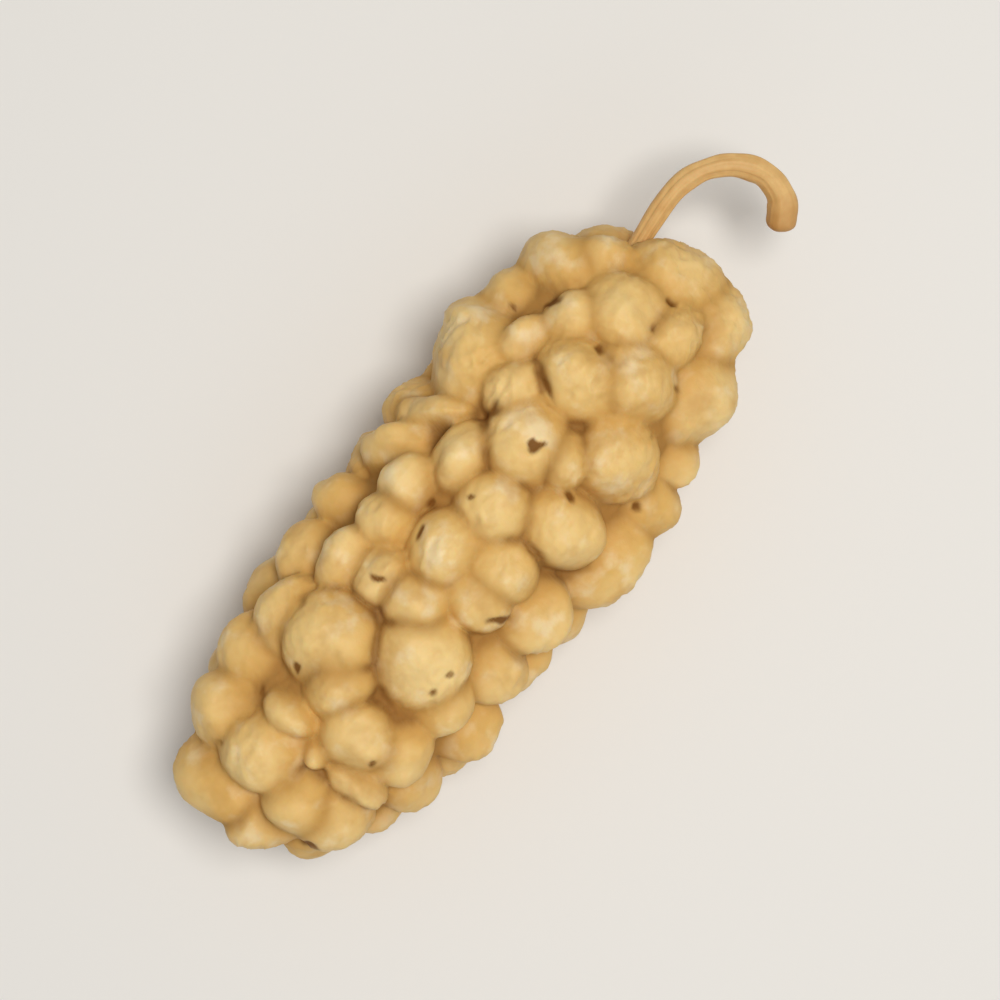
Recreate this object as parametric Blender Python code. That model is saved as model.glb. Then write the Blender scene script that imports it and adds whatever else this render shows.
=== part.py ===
"""A dried white mulberry with its stem, lying on its side.

The fruit is one grown body: small fleshy lobes packed round a core, fused to it and to each
other. The stem is a dry, hooked stalk whose root sits in a hole among the lobes at one end.
+X runs along the fruit towards the stem, +Z is up, and the fruit rests on the plane Z = 0.
"""

import math
import random

import bmesh
import bpy
import numpy as np
from mathutils import Matrix, Vector

# Lengths are in millimetres, and become metres when a mesh is made
MM = 0.001

# The fruit's outer form: half sizes, the power that each side is rounded with, and its middle
HALF_SIZE = np.array((11.5, 4.65, 4.1))
POWERS = np.array((4.0, 2.4, 2.4))
MIDDLE = np.array((-1.707, 0.134, 4.0))

# The lobes stand with their centres this far inside the form, and the core fills it below them
LOBE_REACH = 1.2
CORE_RISE = 0.35
CORE_SIDES = 20
CORE_RINGS = 14

# Lobes of the upper side, one after another along the fruit:
# (along, across, half length, half width, degrees from +X that the length points to)
UPPER_LOBES = (
    ((-10.6, -0.1, 1.15, 0.8, -45), (-10.65, 1.8, 1.4, 0.85, 80), (-9.35, -0.7, 1.0, 0.95, 0)),
    ((-9.15, -2.0, 1.05, 1.0, 0),),
    ((-8.85, 1.05, 1.1, 1.05, 90), (-8.6, 2.9, 1.05, 1.0, 0), (-7.3, 1.1, 0.8, 0.45, 90)),
    ((-7.72, -0.3, 0.4, 0.35, 60), (-7.75, -1.8, 0.95, 0.45, 95), (-6.65, 3.4, 1.0, 0.95, 0)),
    ((-6.65, -0.95, 1.0, 0.9, 90), (-6.3, -2.4, 0.9, 0.8, 0), (-5.75, 0.5, 0.95, 0.85, -20)),
    ((-4.95, 1.6, 1.3, 1.25, 0), (-5.2, 3.1, 1.1, 0.75, 10), (-3.75, -1.1, 1.3, 1.2, 90)),
    ((-4.3, -2.5, 0.95, 0.7, 15), (-4.6, -3.7, 0.95, 0.7, 0), (-3.5, 3.8, 1.0, 0.8, 0)),
    ((-2.8, 2.7, 1.05, 0.65, 5), (-2.5, 1.5, 0.85, 0.7, 0), (-2.5, 0.2, 0.9, 0.85, 90)),
    ((-2.7, -3.1, 0.95, 0.9, 0), (-1.5, 4.0, 0.85, 0.7, 90), (-1.3, -1.35, 0.95, 0.75, 90)),
    ((-0.15, -1.35, 1.0, 0.9, 90), (-1.1, 2.45, 0.8, 0.75, 90)),
    ((-0.8, -3.1, 1.15, 0.9, 0), (0.05, 2.6, 0.85, 0.75, 0), (-0.75, 0.5, 1.05, 0.95, 0)),
    ((0.7, 3.6, 1.15, 0.6, -50), (2.2, 3.3, 1.15, 0.45, -57), (1.1, 0.1, 1.05, 0.95, 90)),
    ((1.75, 1.75, 1.0, 0.75, 0), (1.8, -2.05, 1.2, 1.0, 90), (1.8, -3.9, 1.5, 0.95, 0)),
    ((3.1, 0.5, 1.15, 1.1, 90), (3.45, -0.75, 0.75, 0.7, 0), (4.3, 3.8, 1.6, 1.25, 45)),
    ((4.2, 1.8, 0.95, 0.65, -30), (4.4, -2.1, 1.15, 1.05, 90), (4.0, -3.9, 0.9, 0.8, 90)),
    ((5.6, 0.45, 1.2, 1.0, 90), (5.5, -3.4, 0.8, 0.7, 0), (5.5, 2.4, 0.75, 0.5, 0)),
    ((6.5, 3.9, 0.9, 0.7, 90), (6.9, 1.75, 0.75, 0.7, 0), (6.55, -0.95, 1.1, 0.95, 90)),
    ((7.3, -3.0, 1.35, 1.05, 0), (8.1, 3.4, 1.35, 0.85, 100), (8.0, 0.6, 1.1, 1.0, 90)),
    ((8.2, -1.0, 0.95, 0.75, 0), (8.8, 2.1, 0.8, 0.65, 0), (9.6, -2.1, 1.1, 1.0, 0)),
    ((10.0, 0.1, 1.25, 1.1, 90),),
)
MEASURED_MIDDLE = np.array((-0.35, 0.2))
MEASURED_SHIFT = np.array((MIDDLE[0] - MEASURED_MIDDLE[0], MIDDLE[1] - MEASURED_MIDDLE[1], 0.0))
SEEN_SHIFT = 0.4
SEEN_STEPS = 4
EDGE_SHARE = 0.975
EDGE_PULL = 0.35

# Lobes of the lower side, which a rule spreads over what the upper ones leave free
LOBE_COUNT = 128
LOBE_WIDTH = 1.02
WIDTH_SCATTER = 0.1
LENGTH_SCATTER = 0.12
WIDTH_LIMITS = (0.7, 1.2)
FREE_TOP = 0.6
FREE_GAP = 0.45
SPIRAL_NUDGE = 0.2
RELAX_STEPS = 240
RELAX_PUSH = 0.35
NEIGHBOURS = 5
UNDERCUT = 0.1
SEED = 11

# One lobe: its measured width grows to where it meets its neighbours below their crease, and
# this share of its height follows its width
WIDTH_TO_RADIUS = 1.27
LOBE_STRETCH = 1.07
HEIGHT_SHARE = 0.25
LEAN_TO_TIP = 0.25
LOBE_SIDES = 8
LOBE_RINGS = (0.55, 1.1, 1.75)

# How points are brought onto the form
FORM_STEPS = 6
LONGEST_STEP = 2.0
SMALL = 1e-6
FAR_OFF = 1e9

# The stem: points along its middle, (along, across, height), then its radius at root and tip
STEM_ROUTE = (
    (7.6, 1.25, 4.05),
    (9.7, 1.5, 4.7),
    (11.9, 1.64, 5.3),
    (13.2, 1.05, 5.4),
    (13.85, 0.0, 5.2),
    (13.7, -1.0, 4.8),
    (12.95, -1.6, 4.4),
)
STEM_RADIUS_ROOT = 0.3
STEM_RADIUS_TIP = 0.48
STEM_POINTS = 26
STEM_SIDES_SETTING = 3

# The hole round the stem's root, which ends this many points along its route
SOCKET_END = 1.5
SOCKET_GAP = 0.2
SOCKET_EXTRA = 0.3
SOCKET_SIDES = 16
CUTTER_MARGIN = 4.0

FRUIT_COLOUR = (0.62, 0.40, 0.17, 1.0)
FRUIT_ROUGHNESS = 0.55
STEM_COLOUR = (0.68, 0.46, 0.24, 1.0)
STEM_ROUGHNESS = 0.7


def clear_scene():
    """An empty scene to build in."""
    for thing in list(bpy.data.objects):
        bpy.data.objects.remove(thing)


def new_collection(name):
    collection = bpy.data.collections.new(name)
    bpy.context.scene.collection.children.link(collection)
    return collection


def material(name, colour, roughness):
    made = bpy.data.materials.new(name)
    made.use_nodes = True
    shader = made.node_tree.nodes["Principled BSDF"]
    shader.inputs["Base Color"].default_value = colour
    shader.inputs["Roughness"].default_value = roughness
    shader.inputs["Metallic"].default_value = 0.0
    return made


def form_value(points, half):
    """1 on the blunt ellipsoid with these half sizes, less inside it, more outside."""
    return (np.abs(points / half) ** POWERS).sum(axis=1)


def form_slope(points, half):
    """Way in which the form's value grows fastest at each point."""
    share = np.abs(points / half)
    return POWERS * share ** (POWERS - 1) * np.sign(points) / half


def onto_form(points, half):
    """Points moved along the form's slope until they lie on it."""
    for _ in range(FORM_STEPS):
        slope = form_slope(points, half)
        over = form_value(points, half) - 1
        step = over / np.maximum((slope**2).sum(axis=1), SMALL)
        points = points - np.clip(step, -LONGEST_STEP, LONGEST_STEP)[:, None] * slope
    return points


def upper_lobes(half):
    """Centres of the upper side's lobes on the form, with their measured sizes and turns.

    On a slope a lobe's seen middle is further out than its centre, and a lobe that is seen at
    the edge may have its centre a little off the form.
    """
    rows = np.array([lobe for row in UPPER_LOBES for lobe in row])
    seen = np.column_stack((rows[:, :2] - MEASURED_MIDDLE, np.zeros(len(rows))))
    shift = SEEN_SHIFT * np.sqrt(rows[:, 2] * rows[:, 3])
    flat = seen
    for _ in range(SEEN_STEPS):
        edge = onto_form(flat / EDGE_SHARE, half) * EDGE_SHARE
        outside = form_value(flat / EDGE_SHARE, half) > 1
        centres = np.where(outside[:, None], edge, flat)
        centres[:, 2] = half[2] * (1 - form_value(centres, half)) ** (1 / POWERS[2])
        outward = form_slope(centres, half)
        outward /= np.linalg.norm(outward, axis=1)[:, None]
        flat = seen - shift[:, None] * outward * (1, 1, 0)
    off_form = (1 - EDGE_PULL) * (flat - edge) * (1, 1, 0)
    centres += np.where(outside[:, None], off_form, 0)
    return centres, rows[:, 2:4], rows[:, 4]


def spiral(count, half, rng):
    """Points spread over the form on a golden-angle spiral, each nudged a little."""
    golden = math.pi * (3 - math.sqrt(5))
    points = []
    for i in range(count):
        along = 1 - 2 * (i + 0.5) / count
        ring = math.sqrt(1 - along * along)
        angle = golden * i + rng.uniform(-SPIRAL_NUDGE, SPIRAL_NUDGE)
        points.append((along, ring * math.cos(angle), ring * math.sin(angle)))
    return onto_form(np.array(points) * half, half)


def relax(free, free_width, fixed, fixed_width, half):
    """Free centres pushed apart and off the fixed ones, on the form's lower part."""
    width = np.concatenate((free_width, fixed_width))
    wanted = free_width[:, None] + width[None, :]
    for _ in range(RELAX_STEPS):
        everyone = np.concatenate((free, fixed))
        apart = free[:, None, :] - everyone[None, :, :]
        distance = np.linalg.norm(apart, axis=2)
        distance[distance < SMALL] = FAR_OFF
        push = np.clip(1 - distance / wanted, 0, 1)
        step = (apart / distance[:, :, None] * push[:, :, None]).sum(axis=1)
        free = free + RELAX_PUSH * step
        free[:, 2] = np.minimum(free[:, 2], FREE_TOP)
        free = onto_form(free, half)
    return free


def frames(centres, degrees, half):
    """Each lobe's own directions, as rows: along its length, across it and outward.

    The outward one leans a little towards the fruit's free end.
    """
    outward = form_slope(centres, half)
    outward /= np.linalg.norm(outward, axis=1)[:, None]
    outward[:, 0] -= LEAN_TO_TIP * (1 - np.abs(outward[:, 0]))
    outward /= np.linalg.norm(outward, axis=1)[:, None]
    along = np.array((1.0, 0.0, 0.0)) - outward[:, :1] * outward
    along /= np.linalg.norm(along, axis=1)[:, None]
    across = np.cross(outward, along)
    turn = np.radians(degrees)[:, None]
    length = along * np.cos(turn) + across * np.sin(turn)
    return np.stack((length, np.cross(outward, length), outward), axis=1)


def lobes():
    """Every lobe's centre, half sizes and directions, round the fruit's middle."""
    rng = random.Random(SEED)
    half = HALF_SIZE - LOBE_REACH
    fixed, fixed_sizes, fixed_degrees = upper_lobes(half)
    fixed_width = np.sqrt(fixed_sizes.prod(axis=1))
    start = spiral(LOBE_COUNT, half, rng)
    room = np.linalg.norm(start[:, None] - fixed[None], axis=2) - fixed_width
    free = start[(room.min(axis=1) > FREE_GAP) & (start[:, 2] < FREE_TOP)]
    drawn = np.array([rng.gauss(LOBE_WIDTH, WIDTH_SCATTER) for _ in free])
    free = relax(free, drawn, fixed, fixed_width, half)
    free[:, :2] *= 1 - UNDERCUT * (1 - free[:, 2:] / half[2]) / 2
    centres = np.concatenate((fixed, free))
    distance = np.linalg.norm(centres[:, None] - centres[None], axis=2)
    nearby = np.sort(distance, axis=1)[len(fixed) :, 1 : NEIGHBOURS + 1]
    width = np.clip((drawn + nearby.mean(axis=1) / 2) / 2, *WIDTH_LIMITS)
    longer = np.array([math.exp(rng.gauss(0, LENGTH_SCATTER)) for _ in free])
    sizes = np.concatenate((fixed_sizes, np.column_stack((width * longer, width / longer))))
    sizes *= WIDTH_TO_RADIUS
    even = HEIGHT_SHARE * np.sqrt(sizes.prod(axis=1)) + (1 - HEIGHT_SHARE) * LOBE_REACH
    height = LOBE_STRETCH * even
    degrees = np.concatenate((fixed_degrees, [rng.uniform(0, 180) for _ in free]))
    return centres, np.column_stack((sizes, height)), frames(centres, degrees, half)


def mesh_object(name, bm, collection):
    mesh = bpy.data.meshes.new(name)
    bm.to_mesh(mesh)
    bm.free()
    made = bpy.data.objects.new(name, mesh)
    collection.objects.link(made)
    return made


def core(collection):
    """The fruit's middle, which every lobe's root is sunk in."""
    bm = bmesh.new()
    bmesh.ops.create_uvsphere(bm, u_segments=CORE_SIDES, v_segments=CORE_RINGS, radius=1.0)
    half = HALF_SIZE - LOBE_REACH + CORE_RISE
    for vertex in bm.verts:
        on_form = onto_form(np.array([vertex.co.normalized()]) * half, half)[0]
        vertex.co = Vector((on_form + MIDDLE) * MM)
    return mesh_object("fruit", bm, collection)


def unit_lobe():
    """A lobe 1 across from its middle: rings of corners from its outer end to its root."""
    bm = bmesh.new()
    top = bm.verts.new((0, 0, 1))
    above = None
    for row, angle in enumerate(LOBE_RINGS):
        ring = []
        for side in range(LOBE_SIDES):
            turn = (side + row / 2) * 2 * math.pi / LOBE_SIDES
            width = math.sin(angle)
            spot = (width * math.cos(turn), width * math.sin(turn), math.cos(angle))
            ring.append(bm.verts.new(spot))
        for side in range(LOBE_SIDES):
            after = (side + 1) % LOBE_SIDES
            if above is None:
                bm.faces.new((top, ring[side], ring[after]))
            else:
                bm.faces.new((above[after], ring[side], ring[after]))
                bm.faces.new((above[side], ring[side], above[after]))
        above = ring
    bm.faces.new(reversed(above))
    return bm


def lobe(number, centre, sizes, directions, collection):
    """One lobe in its place, with its half sizes along its own three directions."""
    bm = unit_lobe()
    turn = Matrix(directions.tolist()).transposed().to_4x4()
    place = Matrix.Translation(Vector((centre + MIDDLE) * MM))
    bm.transform(place @ turn @ Matrix.Diagonal((*(sizes * MM), 1)))
    return mesh_object(f"lobe_{number}", bm, collection)


def apply_modifiers(thing):
    """The object's mesh replaced by the one that its modifiers give."""
    graph = bpy.context.evaluated_depsgraph_get()
    made = bpy.data.meshes.new_from_object(thing.evaluated_get(graph))
    thing.modifiers.clear()
    thing.data = made


def fuse(thing, others):
    """The objects of a collection joined to thing in one solid, and then removed."""
    union = thing.modifiers.new("fuse", "BOOLEAN")
    union.operation = "UNION"
    union.operand_type = "COLLECTION"
    union.collection = others
    union.solver = "MANIFOLD"
    apply_modifiers(thing)
    for other in list(others.objects):
        bpy.data.objects.remove(other)
    bpy.data.collections.remove(others)


def drop_pockets(thing):
    """The tiny closed pockets that are left among the lobes' roots, filled in."""
    bm = bmesh.new()
    bm.from_mesh(thing.data)
    seen = set()
    pieces = []
    for start in bm.verts:
        if start in seen:
            continue
        seen.add(start)
        piece = [start]
        for vertex in piece:
            near = {edge.other_vert(vertex) for edge in vertex.link_edges} - seen
            seen |= near
            piece.extend(near)
        pieces.append(piece)
    pieces.sort(key=len)
    for pocket in pieces[:-1]:
        bmesh.ops.delete(bm, geom=pocket, context="VERTS")
    bm.to_mesh(thing.data)
    bm.free()


def cut(thing, cutter):
    """The cutter's space taken out of thing, by a modifier that stays on it."""
    cutter.hide_render = True
    cutter.display_type = "WIRE"
    difference = thing.modifiers.new("cut", "BOOLEAN")
    difference.operation = "DIFFERENCE"
    difference.object = cutter
    difference.solver = "MANIFOLD"


def floor_cutter(collection):
    """A block below Z = 0, which leaves the lobes that reach it flat."""
    bm = bmesh.new()
    bmesh.ops.create_cube(bm, size=1.0)
    size = Vector((*(2 * HALF_SIZE[:2] + 2 * CUTTER_MARGIN), CUTTER_MARGIN)) * MM
    bm.transform(Matrix.Diagonal((*size, 1)))
    bm.transform(Matrix.Translation((MIDDLE[0] * MM, MIDDLE[1] * MM, -size.z / 2)))
    return mesh_object("floor_cutter", bm, collection)


def stem_place(along):
    """Point on the stem's smooth route, for along from 0 at the root to 1 at the tip."""
    route = np.array(STEM_ROUTE)
    route = np.vstack((2 * route[0] - route[1], route, 2 * route[-1] - route[-2]))
    spans = len(route) - 3
    span = min(int(along * spans), spans - 1)
    t = along * spans - span
    a, b, c, d = route[span : span + 4]
    point = b + 0.5 * t * (c - a + t * (2 * a - 5 * b + 4 * c - d + t * (3 * (b - c) + d - a)))
    return point + MEASURED_SHIFT


def stem(collection):
    """The stalk: a tube that is thin at its root and thicker towards its cut tip."""
    curve = bpy.data.curves.new("stem", "CURVE")
    curve.dimensions = "3D"
    curve.bevel_depth = STEM_RADIUS_ROOT * MM
    curve.bevel_resolution = STEM_SIDES_SETTING
    curve.use_fill_caps = True
    spline = curve.splines.new("POLY")
    spline.points.add(STEM_POINTS - 1)
    for i, point in enumerate(spline.points):
        along = i / (STEM_POINTS - 1)
        point.co = (*(stem_place(along) * MM), 1.0)
        point.radius = 1 + (STEM_RADIUS_TIP / STEM_RADIUS_ROOT - 1) * along**2
    made = bpy.data.objects.new("stem", curve)
    collection.objects.link(made)
    return made


def socket_cutter(collection):
    """The hole that the stem's root sits in, straight from the root's end to past the lobes."""
    start = stem_place(0.0)
    end = stem_place(SOCKET_END / (len(STEM_ROUTE) - 1))
    way = Vector(end - start)
    length = way.length + SOCKET_EXTRA
    bm = bmesh.new()
    radius = (STEM_RADIUS_ROOT + SOCKET_GAP) * MM
    bmesh.ops.create_cone(
        bm,
        cap_ends=True,
        segments=SOCKET_SIDES,
        radius1=radius,
        radius2=radius,
        depth=length * MM,
    )
    turn = way.to_track_quat("Z", "Y").to_matrix().to_4x4()
    middle = Vector(start) + way.normalized() * (length / 2 - SOCKET_EXTRA)
    bm.transform(Matrix.Translation(middle * MM) @ turn)
    return mesh_object("socket_cutter", bm, collection)


def fruit(collection, cutters):
    """The core and every lobe as one solid, flat where it rests, with the stem's hole."""
    made = core(collection)
    repeats = new_collection("lobes")
    for number, (centre, sizes, directions) in enumerate(zip(*lobes())):
        lobe(number, centre, sizes, directions, repeats)
    fuse(made, repeats)
    drop_pockets(made)
    cut(made, floor_cutter(cutters))
    cut(made, socket_cutter(cutters))
    made.data.shade_smooth()
    return made


def main():
    """The two parts, each with its own material."""
    clear_scene()
    parts = new_collection("dried_mulberry")
    cutters = new_collection("cutters")
    flesh = fruit(parts, cutters)
    flesh.data.materials.append(material("fruit_flesh", FRUIT_COLOUR, FRUIT_ROUGHNESS))
    stalk = stem(parts)
    stalk.data.materials.append(material("stem_stalk", STEM_COLOUR, STEM_ROUGHNESS))


main()
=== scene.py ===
"""A dried white mulberry and its stem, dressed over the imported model.

The fruit and the stem are each replaced by a finer piece of the same form. The fruit's lobes
stand where the model has them; here they also get their creases, wrinkles and small scars.
Lengths of the fruit and the stem are in millimetres, and become metres when a mesh is made.
The materials, the floor, the lights and the camera are in metres.
"""

import math
import random

import bmesh
import bpy
import numpy as np
from mathutils import Matrix, Vector


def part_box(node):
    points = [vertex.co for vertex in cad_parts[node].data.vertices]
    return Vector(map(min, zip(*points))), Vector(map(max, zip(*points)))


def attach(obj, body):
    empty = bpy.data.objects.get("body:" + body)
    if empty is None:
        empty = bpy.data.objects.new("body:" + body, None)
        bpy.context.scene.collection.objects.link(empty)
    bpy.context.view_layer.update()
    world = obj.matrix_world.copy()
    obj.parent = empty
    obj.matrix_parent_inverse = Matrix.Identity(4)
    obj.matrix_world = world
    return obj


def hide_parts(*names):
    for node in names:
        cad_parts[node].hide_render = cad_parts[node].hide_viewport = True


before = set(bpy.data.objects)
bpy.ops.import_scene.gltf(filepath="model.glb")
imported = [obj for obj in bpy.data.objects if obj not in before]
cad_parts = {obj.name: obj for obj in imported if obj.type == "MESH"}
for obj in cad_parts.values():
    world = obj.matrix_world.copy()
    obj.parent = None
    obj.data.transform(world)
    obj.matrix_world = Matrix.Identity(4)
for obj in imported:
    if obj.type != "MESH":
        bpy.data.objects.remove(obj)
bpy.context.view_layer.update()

MM = 0.001

# The fruit's outer form: half sizes, the power that each side is rounded with, and its middle
HALF_SIZE = np.array((11.5, 4.65, 4.1))
POWERS = np.array((4.0, 2.4, 2.4))
MIDDLE = np.array((-1.707, 0.134, 4.0))

# The lobes stand with their centres this far inside the form, and the core fills it below them
LOBE_REACH = 1.2
CORE_RISE = 0.35

# Lobes of the upper side, one after another along the fruit:
# (along, across, half length, half width, degrees from +X that the length points to)
UPPER_LOBES = (
    ((-10.6, -0.1, 1.15, 0.8, -45), (-10.65, 1.8, 1.4, 0.85, 80), (-9.35, -0.7, 1.0, 0.95, 0)),
    ((-9.15, -2.0, 1.05, 1.0, 0),),
    ((-8.85, 1.05, 1.1, 1.05, 90), (-8.6, 2.9, 1.05, 1.0, 0), (-7.3, 1.1, 0.8, 0.45, 90)),
    ((-7.72, -0.3, 0.4, 0.35, 60), (-7.75, -1.8, 0.95, 0.45, 95), (-6.65, 3.4, 1.0, 0.95, 0)),
    ((-6.65, -0.95, 1.0, 0.9, 90), (-6.3, -2.4, 0.9, 0.8, 0), (-5.75, 0.5, 0.95, 0.85, -20)),
    ((-4.95, 1.6, 1.3, 1.25, 0), (-5.2, 3.1, 1.1, 0.75, 10), (-3.75, -1.1, 1.3, 1.2, 90)),
    ((-4.3, -2.5, 0.95, 0.7, 15), (-4.6, -3.7, 0.95, 0.7, 0), (-3.5, 3.8, 1.0, 0.8, 0)),
    ((-2.8, 2.7, 1.05, 0.65, 5), (-2.5, 1.5, 0.85, 0.7, 0), (-2.5, 0.2, 0.9, 0.85, 90)),
    ((-2.7, -3.1, 0.95, 0.9, 0), (-1.5, 4.0, 0.85, 0.7, 90), (-1.3, -1.35, 0.95, 0.75, 90)),
    ((-0.15, -1.35, 1.0, 0.9, 90), (-1.1, 2.45, 0.8, 0.75, 90)),
    ((-0.8, -3.1, 1.15, 0.9, 0), (0.05, 2.6, 0.85, 0.75, 0), (-0.75, 0.5, 1.05, 0.95, 0)),
    ((0.7, 3.6, 1.15, 0.6, -50), (2.2, 3.3, 1.15, 0.45, -57), (1.1, 0.1, 1.05, 0.95, 90)),
    ((1.75, 1.75, 1.0, 0.75, 0), (1.8, -2.05, 1.2, 1.0, 90), (1.8, -3.9, 1.5, 0.95, 0)),
    ((3.1, 0.5, 1.15, 1.1, 90), (3.45, -0.75, 0.75, 0.7, 0), (4.3, 3.8, 1.6, 1.25, 45)),
    ((4.2, 1.8, 0.95, 0.65, -30), (4.4, -2.1, 1.15, 1.05, 90), (4.0, -3.9, 0.9, 0.8, 90)),
    ((5.6, 0.45, 1.2, 1.0, 90), (5.5, -3.4, 0.8, 0.7, 0), (5.5, 2.4, 0.75, 0.5, 0)),
    ((6.5, 3.9, 0.9, 0.7, 90), (6.9, 1.75, 0.75, 0.7, 0), (6.55, -0.95, 1.1, 0.95, 90)),
    ((7.3, -3.0, 1.35, 1.05, 0), (8.1, 3.4, 1.35, 0.85, 100), (8.0, 0.6, 1.1, 1.0, 90)),
    ((8.2, -1.0, 0.95, 0.75, 0), (8.8, 2.1, 0.8, 0.65, 0), (9.6, -2.1, 1.1, 1.0, 0)),
    ((10.0, 0.1, 1.25, 1.1, 90),),
)
UPPER_COUNT = sum(len(row) for row in UPPER_LOBES)

# Where the fruit's middle is in the measured places, and how a lobe's centre is found from
# where it is seen
MEASURED_MIDDLE = np.array((-0.35, 0.2))
MEASURED_SHIFT = np.array((MIDDLE[0] - MEASURED_MIDDLE[0], MIDDLE[1] - MEASURED_MIDDLE[1], 0.0))
SEEN_SHIFT = 0.4
SEEN_STEPS = 4
EDGE_SHARE = 0.975
EDGE_PULL = 0.35

# Lobes of the lower side, which a rule spreads over what the upper ones leave free
LOBE_COUNT = 128
LOBE_WIDTH = 1.02
WIDTH_SCATTER = 0.1
LENGTH_SCATTER = 0.12
WIDTH_LIMITS = (0.7, 1.2)
FREE_TOP = 0.6
FREE_GAP = 0.45
SPIRAL_NUDGE = 0.2
RELAX_STEPS = 240
RELAX_PUSH = 0.35
NEIGHBOURS = 5
UNDERCUT = 0.1
SEED = 11

# One lobe: its measured width grows to where it meets its neighbours below their crease, and
# this share of its height follows its width
WIDTH_TO_RADIUS = 1.27
LOBE_STRETCH = 1.07
HEIGHT_SHARE = 0.25
LEAN_TO_TIP = 0.25

# How points are brought onto the form
FORM_STEPS = 6
LONGEST_STEP = 2.0
SMALL = 1e-6
FAR_OFF = 1e9

# The stem: points along its middle, (along, across, height), then its radius at root and tip
STEM_ROUTE = (
    (7.6, 1.25, 4.05),
    (9.7, 1.5, 4.7),
    (11.9, 1.64, 5.3),
    (13.2, 1.05, 5.4),
    (13.85, 0.0, 5.2),
    (13.7, -1.0, 4.8),
    (12.95, -1.6, 4.4),
)
STEM_RADIUS_ROOT = 0.3
STEM_RADIUS_TIP = 0.48
STEM_RINGS = 240
STEM_SIDES = 80
WAY_STEP = 0.01

# Ridges and threads that run along the stem: (height, times round it, turn on the way)
STEM_RIDGES = ((0.014, 5, 2.5), (0.009, 9, -4), (0.004, 17, 5), (0.003, 26, -9))
# Lumps one after another along the stem: (height, waves on the way, start)
STEM_LUMPS = ((0.015, 23, 0), (0.01, 51, 1))

# The stem's tip: where it is worn from, where it rounds off, and the share of its radius left
STEM_WORN_FROM = 0.8
STEM_BLUNT_FROM = 0.945
STEM_BLUNT_LEAST = 0.2

# The hole round the stem's root, from and to these shares of the stem's route
HOLE_GAP = 0.03
HOLE_FROM = -0.02
HOLE_TO = 0.36
HOLE_RINGS = 16
HOLE_SIDES = 48

# The fruit's fine skin: its even net, how often its values are smoothed, how near a lobe is to
# count, in its own half sizes, and the height that stands for a lobe that isn't met
NET_LEVEL = 5
SKIN_CELL = 0.078
SMOOTHING_ROUNDS = 3
MARK_SMOOTHING = 1
NEAR_SHARE = 2.4
MISS = -9.0

# Where no lobe covers the core: how deep the skin lies, and how much of the creases' painted shade it
# gets
GAP_DEPTH = 0.12
BARE_GAP_SHADE = 0.7

# Smooth noise: how far its waves' frequencies spread, then (wavelength, seed, number of waves)
WAVE_SPREAD = (0.6, 1.4)
MERGE_WAVES = (4.0, 5, 24)
CREASE_WAVES = (2.5, 9, 24)
DENT_WAVES = (1.3, 6, 30)
WARP_WAVES = ((0.7, 31, 24), (0.7, 32, 24))
DRY_WAVES = (3.0, 12, 24)
BROAD_WAVES = (0.8, 7, 40)
FINE_WAVES = (0.42, 13, 40)
GRAIN_WAVES = (0.3, 8, 40)

# Each lobe's own unevenness, as a share of its half size, in waves that are measured in it too
UNEVENNESS = 0.08
UNEVEN_LENGTH = 1.5
UNEVEN_SEED = 100
UNEVEN_WAVES = 12

# Soft joins between the lobes, which are wider in some places and at the stem end
MERGE_WIDTH = 0.42
MERGE_CHANGE = 0.6
MERGE_RANGE = (0.15, 1.1)
STEM_END_MERGE = 0.6

# Creases between the lobes, which are weaker in some places and at the stem end
CREASE_DEPTH = 0.26
CREASE_WIDTH = 0.2
CREASE_USUAL = 0.45
CREASE_CHANGE = 0.5
CREASE_LEAST = 0.25
CREASE_MOST = 1.5
STEM_END_CREASE = 0.25
VALLEY_WIDTH = 0.38

# Deep creases, wider than the others and darker with painted shade, with a narrow line of painted
# shade at the bottom
DEEP_WIDENS = 0.4
DEEP_CREASE_SHADE = 0.5
SLIT_WIDTH = 0.2
SLIT_SHADE_SHARE = 1.1

# One lobe's scar, near its top, and the seams that run from it over the lobe. Their angles and
# widths are seen from the lobe's middle, in radians
SEAM_SEED = 1000
SCAR_TILT = (0.1, 0.6)
SCAR_WIDTH = 0.12
SCAR_DEPTH = 0.16
SCARRED_SHARE = 0.35
SEAMS = 4
SEAM_DEPTH = 0.1
SEAM_JITTER = 0.22
SEAM_STRENGTH = (0.2, 1.0)
SEAM_WIDTH = 0.1
SEAM_WIDENS = 0.16
SEAM_SIDE = 1.5
SEAM_FADE = 1.0

# Dents and wrinkles of the dry skin, and how much stronger the wrinkles are where it is dry
DENT_DEPTH = 0.045
WRINKLE_DEPTH = 0.03
FINE_WRINKLE_DEPTH = 0.012
GRAIN_DEPTH = 0.005
WRINKLE_SHARPNESS = 1.4
BROAD_STRETCH = (1.0, 1.4, 1.4)
FINE_STRETCH = (1.3, 1.0, 1.0)
DRY_USUAL = 0.65
DRY_CHANGE = 0.6
DRY_RANGE = (0.2, 1.2)
STEM_END_WRINKLE = 0.7

# The skin is sunken round the stem's root. The stem's route is taken in this many steps, and
# the first of them are its root
PIT_DEPTH = 0.3
PIT_WIDTH = 0.6
ROUTE_STEPS = 60
ROOT_STEPS = 25

# How deep a full mark is, how far its outline wanders, and how bluntly its length ends
MARK_DEPTH = 0.13
MARK_WARP = 0.06
MARK_BLUNTNESS = 1.5

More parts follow.
